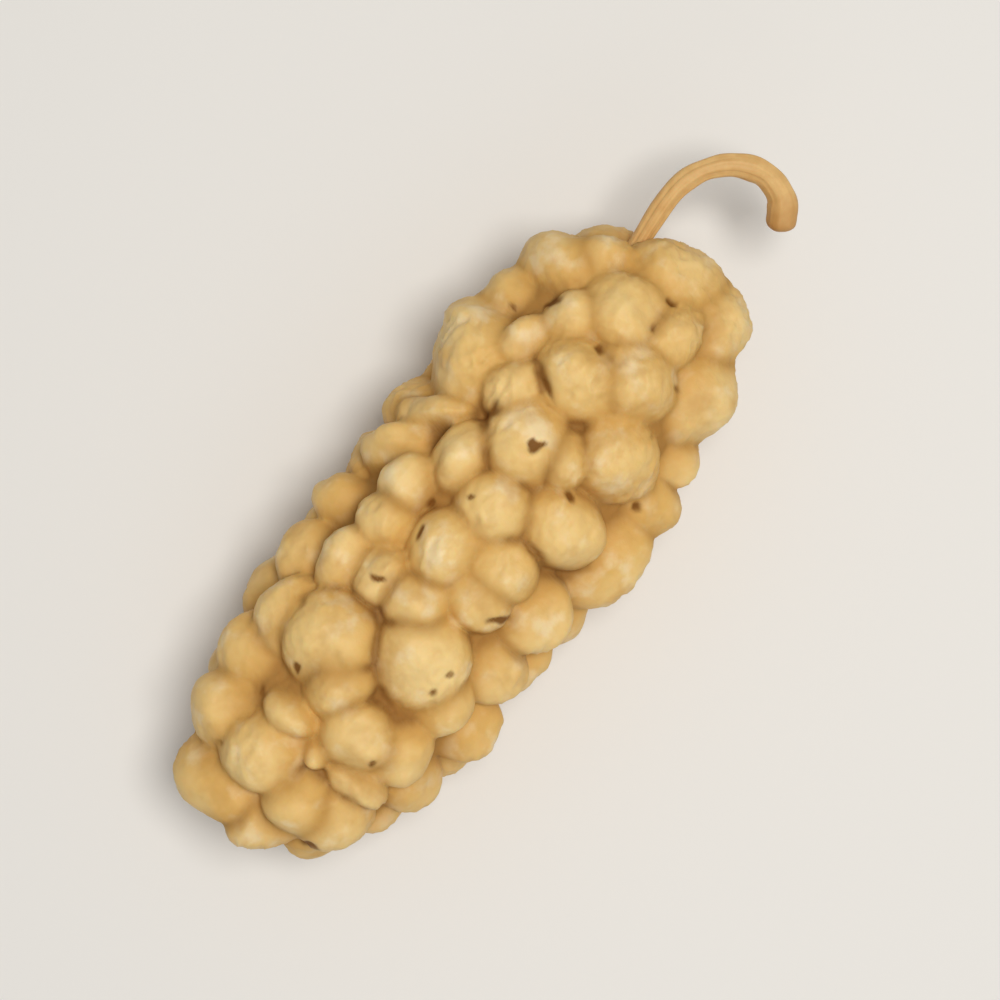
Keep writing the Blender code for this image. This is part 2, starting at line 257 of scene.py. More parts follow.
# Marks seen on the upper side: (along, across, half length, half width, degrees, strength)
UPPER_MARKS = (
    (-6.15, 1.8, 0.22, 0.11, 45, 0.9),
    (-7.0, -1.8, 0.14, 0.12, 0, 0.9),
    (-9.35, 2.3, 0.2, 0.1, 90, 0.5),
    (-7.35, 2.2, 0.3, 0.12, 30, 0.55),
    (-10.2, -1.85, 0.38, 0.12, -75, 0.9),
    (-4.3, -1.9, 0.17, 0.12, 20, 0.7),
    (-2.6, 1.52, 0.26, 0.1, -80, 0.9),
    (-0.8, 1.35, 0.27, 0.1, 35, 0.9),
    (-0.05, 1.7, 0.15, 0.11, 10, 0.9),
    (-1.42, -2.15, 0.36, 0.1, -45, 0.9),
    (-3.5, -1.97, 0.15, 0.12, 0, 0.8),
    (3.3, 0.35, 0.15, 0.11, 70, 0.9),
    (3.12, 0.16, 0.15, 0.1, 10, 0.8),
    (3.4, 0.1, 0.17, 0.11, -35, 0.9),
    (3.65, -3.4, 0.2, 0.15, 45, 1.3),
    (6.9, 2.5, 0.32, 0.12, -20, 0.9),
    (6.62, 0.5, 0.26, 0.14, 60, 0.75),
    (8.1, -0.42, 0.22, 0.12, 45, 0.7),
    (9.0, -0.38, 0.2, 0.13, 100, 0.8),
    (7.15, -2.1, 0.24, 0.11, 80, 0.6),
    (2.7, -1.5, 0.22, 0.13, 75, 0.9),
    (0.9, 0.83, 0.15, 0.12, 0, 0.85),
    (6.05, 3.38, 0.16, 0.13, 0, 0.8),
    (5.5, -2.4, 0.14, 0.12, 0, 0.45),
    (4.87, 1.12, 0.66, 0.1, 63, 0.75),
    (3.27, 1.93, 0.36, 0.14, 10, 0.6),
    (-4.5, 2.9, 0.3, 0.14, 20, 0.4),
)

# Raised folds of the upper side: (along, across, half length, half width, degrees, height)
FOLDS = (
    (2.35, 2.95, 0.8, 0.18, -57, 0.16),
    (0.9, 3.5, 0.7, 0.18, -48, 0.12),
    (-0.3, 3.9, 0.6, 0.16, -50, 0.1),
    (5.15, 4.4, 0.55, 0.18, -55, 0.12),
    (3.6, 3.9, 0.7, 0.18, 75, 0.1),
)

# Deep creases of the upper side: (along, across, half length, half width, degrees, strength)
DEEP_CREASES = (
    (4.92, 1.2, 0.8, 0.22, 60, 1.2),
    (0.72, -1.9, 0.9, 0.25, 95, 1.1),
    (1.0, -3.0, 0.55, 0.25, -55, 1.1),
    (-3.68, 1.35, 1.0, 0.3, 95, 1.0),
    (-4.55, 0.05, 1.1, 0.3, 33, 1.0),
    (3.15, 2.08, 0.55, 0.3, 5, 1.2),
    (-8.15, -1.3, 1.3, 0.25, 100, 0.8),
    (4.45, -0.55, 0.45, 0.3, 80, 0.7),
    (2.1, -0.4, 0.4, 0.3, 0, 0.6),
    (2.1, 1.1, 0.4, 0.3, 0, 0.7),
    (1.75, 2.75, 0.4, 0.3, 0, 0.7),
    (-5.5, -1.1, 0.9, 0.25, 95, 0.5),
)

# Colours of the fruit's skin: cream, also as a painted highlight on crests, usual skin, bloom on it,
# amber for stains and for painted shade in valleys and low down, brown for painted shade in creases,
# and scars
CREAM_TONE_AND_HIGHLIGHT = (0.88, 0.655, 0.29, 1.0)
GOLD = (0.77, 0.49, 0.155, 1.0)
BLOOM = (0.92, 0.78, 0.5, 1.0)
AMBER_STAIN_AND_SHADE = (0.575, 0.32, 0.085, 1.0)
CREASE_SHADE_BROWN = (0.25, 0.105, 0.02, 1.0)
SCAR = (0.195, 0.071, 0.007, 1.0)

# Colours of the stem, its streaks and its worn end, and of the floor
STRAW = (0.56, 0.29, 0.08, 1.0)
PALE_STRAW = (0.83, 0.56, 0.23, 1.0)
STEM_END = (0.42, 0.18, 0.035, 1.0)
FLOOR_COLOUR = (0.83, 0.82, 0.8, 1.0)

# Sockets of a node that mixes two colours: its factor, its two colours and its result
MIX_FACTOR = 0
MIX_FIRST = 6
MIX_SECOND = 7
MIX_RESULT = 2

# Noise in the materials: (waves to a metre, detail)
PATCH_NOISE = (600.0, 3.0)
SPECKLE_NOISE = (2600.0, 2.0)
BLOOM_NOISE = (1100.0, 5.0)
STAIN_NOISE = (850.0, 3.0)
GRAIN_NOISE = (5200.0, 4.0)
STREAK_NOISE = (2500.0, 4.0)

# Values at which the bloom, a stain and a scar start to show and show fully
BLOOM_RANGE = (0.5, 0.72)
STAIN_RANGE = (0.54, 0.24)
SCAR_RANGE = (0.1, 0.7)

# How strongly each thing shows in the fruit's colour, the painted highlight and shade among them, and
# the worn end in the stem's
TONE_SHARE = 0.16
SPECKLE_SHARE = 0.7
CREST_HIGHLIGHT_SHARE = 1.25
PALE_START = -1.4
BLOOM_SHARE = 0.65
STAIN_SHARE = 0.6
UNDERSIDE_SHADE_SHARE = 0.45
VALLEY_SHADE_SHARE = 0.9
CREASE_SHADE_SHARE = 0.75
SCAR_SHARE = 0.95
WORN_SHARE = 0.7

# The fruit's sheen and grain, and the light that passes through its skin
FLESH_ROUGHNESS = 0.34
GRAIN_ROUGHNESS = 0.3
DULL_ROUGHNESS = 0.35
FLESH_SPECULAR = 0.28
FLESH_IOR = 1.45
GRAIN_BUMP = 0.5
GRAIN_HEIGHT = 0.00003
FLESH_SUBSURFACE = 0.3
FLESH_RADIUS = (1.0, 0.5, 0.2)
FLESH_SCALE = 0.0004

# The stem's and the floor's surface
STEM_ROUGHNESS = 0.6
STEM_SUBSURFACE = 0.1
STEM_SCALE = 0.0003
FLOOR_ROUGHNESS = 0.8

# The stage: the floor's half size, the lights as (name, place, size, power, colour), the
# camera and the light from all round
FLOOR_HALF = 0.5
LIGHTS = (
    ("key", (0.02, -0.02, 0.17), 0.07, 0.2, (1.0, 0.97, 0.92)),
    ("fill", (-0.12, -0.08, 0.1), 0.12, 0.02, (0.95, 0.97, 1.0)),
)
CAMERA_LENS = 100.0
CAMERA_SENSOR = 36.0
CAMERA_NEAR = 0.005
CAMERA_HEIGHT = 0.088
CAMERA_TURN = -52.0
WORLD_COLOUR = (1.0, 0.98, 0.95, 1.0)
WORLD_STRENGTH = 0.28


def form_value(points, half):
    """1 on the blunt ellipsoid with these half sizes, less inside it, more outside."""
    return (np.abs(points / half) ** POWERS).sum(axis=1)


def form_slope(points, half):
    share = np.abs(points / half)
    return POWERS * share ** (POWERS - 1) * np.sign(points) / half


def onto_form(points, half):
    """Points moved along the form's slope until they lie on it."""
    for _ in range(FORM_STEPS):
        slope = form_slope(points, half)
        over = form_value(points, half) - 1
        step = over / np.maximum((slope**2).sum(axis=1), SMALL)
        points = points - np.clip(step, -LONGEST_STEP, LONGEST_STEP)[:, None] * slope
    return points


def upper_lobes(half):
    """Centres of the upper side's lobes on the form, with their measured sizes and turns.

    On a slope a lobe's seen middle is further out than its centre, and a lobe that is seen at
    the edge may have its centre a little off the form.
    """
    rows = np.array([lobe for row in UPPER_LOBES for lobe in row])
    seen = np.column_stack((rows[:, :2] - MEASURED_MIDDLE, np.zeros(len(rows))))
    shift = SEEN_SHIFT * np.sqrt(rows[:, 2] * rows[:, 3])
    flat = seen
    for _ in range(SEEN_STEPS):
        edge = onto_form(flat / EDGE_SHARE, half) * EDGE_SHARE
        outside = form_value(flat / EDGE_SHARE, half) > 1
        centres = np.where(outside[:, None], edge, flat)
        centres[:, 2] = half[2] * (1 - form_value(centres, half)) ** (1 / POWERS[2])
        outward = form_slope(centres, half)
        outward /= np.linalg.norm(outward, axis=1)[:, None]
        flat = seen - shift[:, None] * outward * (1, 1, 0)
    off_form = (1 - EDGE_PULL) * (flat - edge) * (1, 1, 0)
    centres += np.where(outside[:, None], off_form, 0)
    return centres, rows[:, 2:4], rows[:, 4]


def spiral(count, half, rng):
    """Points spread over the form on a golden-angle spiral, each nudged a little."""
    golden = math.pi * (3 - math.sqrt(5))
    points = []
    for i in range(count):
        along = 1 - 2 * (i + 0.5) / count
        ring = math.sqrt(1 - along * along)
        angle = golden * i + rng.uniform(-SPIRAL_NUDGE, SPIRAL_NUDGE)
        points.append((along, ring * math.cos(angle), ring * math.sin(angle)))
    return onto_form(np.array(points) * half, half)


def relax(free, free_width, fixed, fixed_width, half):
    """Free centres pushed apart and off the fixed ones, on the form's lower part."""
    width = np.concatenate((free_width, fixed_width))
    wanted = free_width[:, None] + width[None, :]
    for _ in range(RELAX_STEPS):
        everyone = np.concatenate((free, fixed))
        apart = free[:, None, :] - everyone[None, :, :]
        distance = np.linalg.norm(apart, axis=2)
        distance[distance < SMALL] = FAR_OFF
        push = np.clip(1 - distance / wanted, 0, 1)
        step = (apart / distance[:, :, None] * push[:, :, None]).sum(axis=1)
        free = free + RELAX_PUSH * step
        free[:, 2] = np.minimum(free[:, 2], FREE_TOP)
        free = onto_form(free, half)
    return free


def frames(centres, degrees, half):
    """Each lobe's own directions, as rows: along its length, across it and outward.

    The outward one leans a little towards the fruit's free end.
    """
    outward = form_slope(centres, half)
    outward /= np.linalg.norm(outward, axis=1)[:, None]
    outward[:, 0] -= LEAN_TO_TIP * (1 - np.abs(outward[:, 0]))
    outward /= np.linalg.norm(outward, axis=1)[:, None]
    along = np.array((1.0, 0.0, 0.0)) - outward[:, :1] * outward
    along /= np.linalg.norm(along, axis=1)[:, None]
    across = np.cross(outward, along)
    turn = np.radians(degrees)[:, None]
    length = along * np.cos(turn) + across * np.sin(turn)
    return np.stack((length, np.cross(outward, length), outward), axis=1)


def lobes():
    """Every lobe's centre, half sizes and directions, round the fruit's middle."""
    rng = random.Random(SEED)
    half = HALF_SIZE - LOBE_REACH
    fixed, fixed_sizes, fixed_degrees = upper_lobes(half)
    fixed_width = np.sqrt(fixed_sizes.prod(axis=1))
    start = spiral(LOBE_COUNT, half, rng)
    room = np.linalg.norm(start[:, None] - fixed[None], axis=2) - fixed_width
    free = start[(room.min(axis=1) > FREE_GAP) & (start[:, 2] < FREE_TOP)]
    drawn = np.array([rng.gauss(LOBE_WIDTH, WIDTH_SCATTER) for _ in free])
    free = relax(free, drawn, fixed, fixed_width, half)
    free[:, :2] *= 1 - UNDERCUT * (1 - free[:, 2:] / half[2]) / 2
    centres = np.concatenate((fixed, free))
    distance = np.linalg.norm(centres[:, None] - centres[None], axis=2)
    nearby = np.sort(distance, axis=1)[len(fixed) :, 1 : NEIGHBOURS + 1]
    width = np.clip((drawn + nearby.mean(axis=1) / 2) / 2, *WIDTH_LIMITS)
    longer = np.array([math.exp(rng.gauss(0, LENGTH_SCATTER)) for _ in free])
    sizes = np.concatenate((fixed_sizes, np.column_stack((width * longer, width / longer))))
    sizes *= WIDTH_TO_RADIUS
    even = HEIGHT_SHARE * np.sqrt(sizes.prod(axis=1)) + (1 - HEIGHT_SHARE) * LOBE_REACH
    height = LOBE_STRETCH * even
    degrees = np.concatenate((fixed_degrees, [rng.uniform(0, 180) for _ in free]))
    return centres, np.column_stack((sizes, height)), frames(centres, degrees, half)


def waves(points, length, seed, count):
    """Smooth noise of about this wavelength, mostly from -1 to 1: a sum of seeded waves."""
    rng = np.random.default_rng(seed)
    ways = rng.normal(size=(count, 3))
    ways /= np.linalg.norm(ways, axis=1)[:, None]
    ways *= (2 * math.pi / length * rng.uniform(*WAVE_SPREAD, count))[:, None]
    phases = rng.uniform(0, 2 * math.pi, count)
    total = np.zeros(len(points))
    for way, phase in zip(ways, phases):
        total += np.cos(points @ way + phase)
    return total / math.sqrt(count)


def smoothed(values, edges, rounds):
    """Values eased towards the mean of their neighbours, this many times."""
    count = len(values)
    degree = np.bincount(edges.ravel(), minlength=count)
    for _ in range(rounds):
        near = np.bincount(edges[:, 0], weights=values[edges[:, 1]], minlength=count)
        near += np.bincount(edges[:, 1], weights=values[edges[:, 0]], minlength=count)
        values = 0.5 * values + 0.5 * near / degree
    return values


def stem_end(points):
    """0 on the fruit's free half, and from there a rise to 1 at the end with the stem."""
    return np.clip(points[:, 0] / HALF_SIZE[0], 0, 1)


def even_net(half):
    """A mesh of evenly spaced points on a plain ellipsoid with these half sizes."""
    bm = bmesh.new()
    bmesh.ops.create_icosphere(bm, subdivisions=NET_LEVEL, radius=1.0)
    bm.transform(Matrix.Diagonal((*half, 1)))
    mesh = bpy.data.meshes.new("net")
    bm.to_mesh(mesh)
    bm.free()
    net = scene_object("net", mesh)
    remesh = net.modifiers.new("remesh", "REMESH")
    remesh.mode = "VOXEL"
    remesh.voxel_size = SKIN_CELL
    graph = bpy.context.evaluated_depsgraph_get()
    fine = bpy.data.meshes.new_from_object(net.evaluated_get(graph))
    bpy.data.objects.remove(net)
    return fine


def core_skin():
    """An even net's mesh, with its points and normals on the core, in the fruit's own frame."""
    half = HALF_SIZE - LOBE_REACH + CORE_RISE
    fine = even_net(half)
    points = np.empty(len(fine.vertices) * 3)
    fine.vertices.foreach_get("co", points)
    points = onto_form(points.reshape(-1, 3), half)
    normals = form_slope(points, half)
    return fine, points, normals / np.linalg.norm(normals, axis=1)[:, None]


def net_edges(mesh):
    """The mesh's edges, as pairs of point numbers."""
    edges = np.empty(len(mesh.edges) * 2, dtype=np.int32)
    mesh.edges.foreach_get("vertices", edges)
    return edges.reshape(-1, 2)


def lobe_hits(points, normals, centre, sizes, directions, number):
    """How far out along each point's normal a lobe's skin lies, and where on the lobe."""
    start = (points - centre) @ directions.T / sizes
    way = normals @ directions.T / sizes
    a = (way**2).sum(axis=1)
    b = (start * way).sum(axis=1)
    c = (start**2).sum(axis=1) - 1
    inside = b * b - a * c
    out = np.where(inside > 0, (np.sqrt(np.maximum(inside, 0)) - b) / a, MISS)
    spot = start + way * out[:, None]
    uneven = waves(spot, UNEVEN_LENGTH, UNEVEN_SEED + number, UNEVEN_WAVES)
    uneven = uneven * UNEVENNESS * sizes[:2].mean()
    return np.where(inside > 0, out + uneven, MISS), spot


def farthest_lobes(points, normals, layout):
    """For each point: the farthest and the next lobe's skin, whose it is, and where on it."""
    count = len(points)
    best = np.full(count, -GAP_DEPTH)
    second = np.full(count, -GAP_DEPTH)
    owner = np.full(count, -1)
    spots = np.zeros((count, 3))
    for number, (centre, sizes, directions) in enumerate(layout):
        near = np.nonzero(np.linalg.norm(points - centre, axis=1) < NEAR_SHARE * sizes.max())[0]
        out, spot = lobe_hits(points[near], normals[near], centre, sizes, directions, number)
        wins = out > best[near]
        second[near] = np.where(wins, best[near], np.maximum(second[near], out))
        best[near[wins]] = out[wins]
        owner[near[wins]] = number
        spots[near[wins]] = spot[wins]
    return best, second, owner, spots


def soft_join(best, gap, points):
    """The skin's height where lobes that meet run softly into each other."""
    merge = MERGE_WIDTH * (1 + MERGE_CHANGE * waves(points, *MERGE_WAVES))
    merge = np.clip(merge + STEM_END_MERGE * stem_end(points), *MERGE_RANGE)
    return best + merge / 4 * np.maximum(1 - gap / merge, 0) ** 2


def creases(gap, deep, points):
    """How strong the crease is at each point, most where two lobes meet."""
    strength = CREASE_USUAL - STEM_END_CREASE * stem_end(points)
    strength = strength + CREASE_CHANGE * waves(points, *CREASE_WAVES)
    strength = np.clip(strength, CREASE_LEAST, 1)
    width = CREASE_WIDTH * (1 + DEEP_WIDENS * deep)
    return np.minimum(np.exp(-gap / width) * (strength + deep), CREASE_MOST)


def scar_directions(rng):
    """The direction of a lobe's scar, a little off its top, and two square to it."""
    tilt = rng.uniform(*SCAR_TILT)
    side = rng.uniform(0, 2 * math.pi)
    flat = math.sin(tilt)
    scar = np.array((flat * math.cos(side), flat * math.sin(side), math.cos(tilt)))
    across = np.cross(scar, (0.0, 1.0, 0.0))
    across /= np.linalg.norm(across)
    return scar, across, np.cross(scar, across)


def lobe_seams(spot, rng):
    """Depth of the soft seams that run over one lobe from its scar, and its scar's depth."""
    scar, across, other = scar_directions(rng)
    unit = spot / np.maximum(np.linalg.norm(spot, axis=1), SMALL)[:, None]
    away = np.arccos(np.clip(unit @ scar, -1, 1))
    round_scar = np.arctan2(unit @ other, unit @ across)
    width = SEAM_WIDTH + SEAM_WIDENS * away
    fade = np.exp(-((away / SEAM_FADE) ** 2))
    groove = np.zeros(len(spot))
    first = rng.uniform(0, 2 * math.pi)
    for seam in range(SEAMS):
        angle = first + (seam + rng.uniform(-SEAM_JITTER, SEAM_JITTER)) * 2 * math.pi / SEAMS
        strength = rng.uniform(*SEAM_STRENGTH) ** 2
        gap = np.angle(np.exp(1j * (round_scar - angle)))
        aside = np.sin(np.clip(gap, -SEAM_SIDE, SEAM_SIDE)) * away
        line = np.exp(-((aside / width) ** 2))
        line[np.abs(gap) > SEAM_SIDE] = 0
        groove += strength * line * fade
    return groove, np.exp(-((away / SCAR_WIDTH) ** 2))


def lobe_details(out, owner, spots):
    """The height with each lobe's own seams and scar in it, and the lobes' tones and scars.

    The upper lobes get no scar here, because theirs are among the marks that were measured.
    """
    tone = np.zeros(len(out))
    dark = np.zeros(len(out))
    for number in range(owner.max() + 1):
        rng = random.Random(SEAM_SEED + number)
        own = np.nonzero(owner == number)[0]
        groove, pit = lobe_seams(spots[own], rng)
        out[own] -= SEAM_DEPTH * groove
        if rng.random() < SCARRED_SHARE and number >= UPPER_COUNT:
            out[own] -= SCAR_DEPTH * pit
            dark[own] = pit
        tone[own] = rng.gauss(0, 1)
    return out, tone, dark


def skin_marks(points, marks):
    """How strongly the marks on the upper side show at these points."""
    total = np.zeros(len(points))
    warp = np.column_stack([waves(points, *kind) for kind in WARP_WAVES]) * MARK_WARP
    measured = points[:, :2] + MEASURED_MIDDLE + warp
    for along, across, half_length, half_width, degrees, strength in marks:
        turn = math.radians(degrees)
        offset = measured - (along, across)
        length = offset @ (math.cos(turn), math.sin(turn))
        width = offset @ (-math.sin(turn), math.cos(turn))
        lengthwise = ((length / half_length) ** 2) ** MARK_BLUNTNESS
        shape = np.exp(-lengthwise - (width / half_width) ** 2)
        total += np.where(points[:, 2] > 0, shape * strength, 0)
    return total


def dents(points):
    """Depth of the shallow dents in the dry skin."""
    return DENT_DEPTH * np.maximum(waves(points, *DENT_WAVES), 0)


def wrinkles(points):
    """Height of the dry skin's wrinkles, which are stronger in some places than in others."""
    dry = np.clip(DRY_USUAL + DRY_CHANGE * waves(points, *DRY_WAVES), *DRY_RANGE)
    dry += STEM_END_WRINKLE * stem_end(points)
    broad = 1 - WRINKLE_SHARPNESS * np.abs(waves(points * BROAD_STRETCH, *BROAD_WAVES))
    fine = 1 - WRINKLE_SHARPNESS * np.abs(waves(points * FINE_STRETCH, *FINE_WAVES))
    grain = waves(points, *GRAIN_WAVES)
    return dry * (WRINKLE_DEPTH * broad + FINE_WRINKLE_DEPTH * fine) + GRAIN_DEPTH * grain


def stem_socket(points):
    """1 at the stem's root and less away from it, for points in the fruit's own frame."""
    line = np.array([stem_place(step / ROUTE_STEPS) for step in range(ROOT_STEPS)]) - MIDDLE
    distance = np.linalg.norm(points[:, None, :] - line[None, :, :], axis=2).min(axis=1)
    return np.exp(-((distance / PIT_WIDTH) ** 2))


def lobed_skin(points, normals, edges):
    """Each point's place on the lobed skin, and what the material needs there."""
    best, second, owner, spots = farthest_lobes(points, normals, zip(*lobes()))
    gap = best - second
    deep = skin_marks(points + normals * best[:, None], DEEP_CREASES)
    # Painted shade: a thin dark line along the bottom of the deep creases
    slit_shade = smoothed(deep * np.exp(-((gap / SLIT_WIDTH) ** 2)), edges, MARK_SMOOTHING)
    crease = creases(gap, deep, points)
    out = soft_join(best, gap, points) - CREASE_DEPTH * crease
    out, tone, dark = lobe_details(out, owner, spots)
    out -= dents(points + normals * out[:, None])
    # The crease and valley values carry painted shade for the material, and the top value a painted
    # highlight
    values = {
        "crease": np.where(owner < 0, BARE_GAP_SHADE, crease),
        "valley_shade": np.exp(-gap / VALLEY_WIDTH),
        "tone": tone,
        "dark": dark,
        # Painted highlight mask: 1 on each lobe's top, falling to 0 at its sides
        "top": np.clip(spots[:, 2], 0, 1),
    }
    for name in values:
        values[name] = smoothed(values[name], edges, SMOOTHING_ROUNDS)
    # Painted shade: deep creases and their slits are darkened further
    values["crease"] = values["crease"] * (1 + DEEP_CREASE_SHADE * deep) + SLIT_SHADE_SHARE * slit_shade
    out = smoothed(out, edges, SMOOTHING_ROUNDS)
    return points + normals * out[:, None], values


def fruit_skin():
    """The fine fruit's mesh, with what the material needs at each point."""
    fine, points, normals = core_skin()
    edges = net_edges(fine)
    placed, values = lobed_skin(points, normals, edges)
    marks = smoothed(np.minimum(skin_marks(placed, UPPER_MARKS), 1), edges, MARK_SMOOTHING)
    socket = stem_socket(placed)
    relief = skin_marks(placed, FOLDS) - MARK_DEPTH * marks - PIT_DEPTH * socket
    placed += normals * relief[:, None]
    placed += normals * wrinkles(placed)[:, None]
    # Painted shade: the pit round the stem's root is darkened like a crease
    values["crease"] = np.clip(values["crease"], socket, 1)
    values["dark"] = np.clip(values["dark"] + marks, 0, 1)
    # Painted shade mask: 0 at the top, rising to 1 at the underside, for amber low down
    values["low"] = np.clip(0.5 - 0.5 * placed[:, 2] / HALF_SIZE[2], 0, 1)
    placed = into_box(placed + MIDDLE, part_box("fruit"))
    fine.vertices.foreach_set("co", (placed * MM).ravel())
    fine.update()
    return fine, values


def into_box(points, box):
    """Points drawn in a little where they would leave a node's box, which is in metres.

    Points that would lie below the box are pressed flat onto its floor.
    """
    low, high = (np.array(corner) / MM for corner in box)
    middle = (low + high) / 2
    reach = np.abs(points - middle)
    room = (high - low) / 2
    share = np.minimum(1, room / reach.max(axis=0))
    inside = middle + (points - middle) * share
    if points[:, 2].min() < low[2]:
        inside[:, 2] = np.maximum(points[:, 2], low[2])
        inside[:, 2] *= min(1, high[2] / inside[:, 2].max())
    return inside


def add_values(mesh, values):
    for name, numbers in values.items():
        layer = mesh.attributes.new(name, "FLOAT", "POINT")
        layer.data.foreach_set("value", np.asarray(numbers, dtype=np.float32))


def scene_object(name, thing):
    made = bpy.data.objects.new(name, thing)
    bpy.context.scene.collection.objects.link(made)
    return made


def stem_place(along):
    """Point on the stem's smooth route, for along from 0 at the root to 1 at the tip."""
    route = np.array(STEM_ROUTE)
    route = np.vstack((2 * route[0] - route[1], route, 2 * route[-1] - route[-2]))
    spans = len(route) - 3
    span = min(int(along * spans), spans - 1)
    t = along * spans - span
    a, b, c, d = route[span : span + 4]
    point = b + 0.5 * t * (c - a + t * (2 * a - 5 * b + 4 * c - d + t * (3 * (b - c) + d - a)))
    return point + MEASURED_SHIFT


def stem_directions(along):
    """Directions to the stem's side and up from it, square to its way at this place."""
    ahead = Vector(stem_place(along + WAY_STEP))
    behind = Vector(stem_place(along - WAY_STEP))
    way = (ahead - behind).normalized()
    side = way.cross(Vector((0, 0, 1))).normalized()
    return side, side.cross(way)


def tube(name, along_values, radius_at, sides):
    """A closed tube round the stem's route, whose radius depends on place and side."""
    bm = bmesh.new()
    rings = []
    for along in along_values:
        here = Vector(stem_place(along))
        side, up = stem_directions(along)
        ring = []
        for step in range(sides):
            angle = 2 * math.pi * step / sides
            reach = radius_at(along, angle)
            spot = here + (side * math.cos(angle) + up * math.sin(angle)) * reach
            ring.append(bm.verts.new(spot * MM))
        rings.append(ring)
    for low, high in zip(rings, rings[1:]):
        for step in range(sides):
            after = (step + 1) % sides
            bm.faces.new((low[step], low[after], high[after], high[step]))
    bm.faces.new(reversed(rings[0]))
    bm.faces.new(rings[-1])
    bmesh.ops.recalc_face_normals(bm, faces=bm.faces)
    mesh = bpy.data.meshes.new(name)
    bm.to_mesh(mesh)
    bm.free()
    return mesh


def stem_radius(along, angle):
    """The stem's radius, with its ridges and lumps, rounded off at the tip."""
    radius = STEM_RADIUS_ROOT + (STEM_RADIUS_TIP - STEM_RADIUS_ROOT) * along**2
    for height, times, turn in STEM_RIDGES:
        radius += height * math.sin(times * angle + turn * along)
    for height, times, start in STEM_LUMPS:
        radius += height * math.sin(times * along + start)
    blunt = 1 - max(0.0, (along - STEM_BLUNT_FROM) / (1 - STEM_BLUNT_FROM)) ** 2
    return radius * (STEM_BLUNT_LEAST + (1 - STEM_BLUNT_LEAST) * math.sqrt(blunt))


def hole_radius(along, angle):
    return STEM_RADIUS_ROOT + HOLE_GAP


def cut_hole(fruit):
    """The hole that the stem's root stands in, a little wider than the stem."""
    steps = np.linspace(HOLE_FROM, HOLE_TO, HOLE_RINGS)
    cutter = scene_object("hole", tube("hole", steps, hole_radius, HOLE_SIDES))
    cut = fruit.modifiers.new("hole", "BOOLEAN")
    cut.operation = "DIFFERENCE"
    cut.solver = "MANIFOLD"
    cut.object = cutter
    graph = bpy.context.evaluated_depsgraph_get()
    fruit.data = bpy.data.meshes.new_from_object(fruit.evaluated_get(graph))
    fruit.modifiers.clear()
    bpy.data.objects.remove(cutter)


def node(tree, kind, place, **settings):
    made = tree.nodes.new(kind)
    made.location = place
    for name, value in settings.items():
        setattr(made, name, value)
    return made


def fill(tree, socket, value):
    """A number or a colour on a socket, or another node's output linked to it."""
    if isinstance(value, (int, float, tuple)):
        socket.default_value = value
    else:
        tree.links.new(value, socket)


def attribute(tree, name, place):
    return node(tree, "ShaderNodeAttribute", place, attribute_name=name).outputs["Fac"]


def maths(tree, operation, values, place):
    made = node(tree, "ShaderNodeMath", place, operation=operation)
    for socket, value in zip(made.inputs, values):
        fill(tree, socket, value)
    return made.outputs[0]


def mix(tree, factor, first, second, place):
    made = node(tree, "ShaderNodeMix", place, data_type="RGBA")
    fill(tree, made.inputs[MIX_FACTOR], factor)
    fill(tree, made.inputs[MIX_FIRST], first)
    fill(tree, made.inputs[MIX_SECOND], second)
    return made.outputs[MIX_RESULT]


def between(tree, value, limits, place):
    """A smooth rise from 0 where the value is at the first limit to 1 at the second."""
    made = node(tree, "ShaderNodeMapRange", place, interpolation_type="SMOOTHSTEP")
    fill(tree, made.inputs["From Min"], limits[0])
    fill(tree, made.inputs["From Max"], limits[1])
    fill(tree, made.inputs["Value"], value)
    return made.outputs[0]


def noise(tree, vector, kind, place):
    made = node(tree, "ShaderNodeTexNoise", place)
    fill(tree, made.inputs["Scale"], kind[0])
    fill(tree, made.inputs["Detail"], kind[1])
    fill(tree, made.inputs["Vector"], vector)
    return made.outputs["Fac"]


def new_material(name):
    """A new material, with its node tree and its shader."""
    made = bpy.data.materials.new(name)
    made.use_nodes = True
    tree = made.node_tree
    return made, tree, tree.nodes["Principled BSDF"]


def own_place(tree):
    """The object's own coordinates, which the noise is laid over."""
    return node(tree, "ShaderNodeTexCoord", (-1800, 0)).outputs["Object"]


def skin_tone_and_crest_highlight(tree, place):
    """Gold, and cream in patches and speckles and on the paler lobes, and cream as a painted
    highlight on the crests.
    """
    tone = maths(tree, "MULTIPLY", (attribute(tree, "tone", (-1600, 900)), TONE_SHARE), (-1400, 900))
    # Painted highlight: each lobe's top value mixes its crest towards cream
    crest_highlight = maths(tree, "MULTIPLY", (attribute(tree, "top", (-1600, 700)), CREST_HIGHLIGHT_SHARE), (-1400, 700))
    patches = noise(tree, place, PATCH_NOISE, (-1400, 500))
    speckle = noise(tree, place, SPECKLE_NOISE, (-1600, 300))
    speckle = maths(tree, "MULTIPLY", (speckle, SPECKLE_SHARE), (-1400, 300))
    paleness_and_highlight = maths(tree, "ADD", (tone, patches), (-1200, 900))
    paleness_and_highlight = maths(tree, "ADD", (paleness_and_highlight, speckle), (-1000, 900))
    paleness_and_highlight = maths(tree, "ADD", (paleness_and_highlight, PALE_START), (-800, 900))
    paleness_and_highlight = maths(tree, "ADD", (paleness_and_highlight, crest_highlight), (-600, 900))
    return mix(tree, paleness_and_highlight, GOLD, CREAM_TONE_AND_HIGHLIGHT, (-400, 900))


def with_patches(tree, skin, place, kind, limits, share, colour, row):
    """The skin's colour with patches of another over it, where this noise is strong."""
    patches = between(tree, noise(tree, place, kind, (-1000, row)), limits, (-800, row))
    patches = maths(tree, "MULTIPLY", (patches, share), (-600, row))
    return mix(tree, patches, skin, colour, (-400, row))


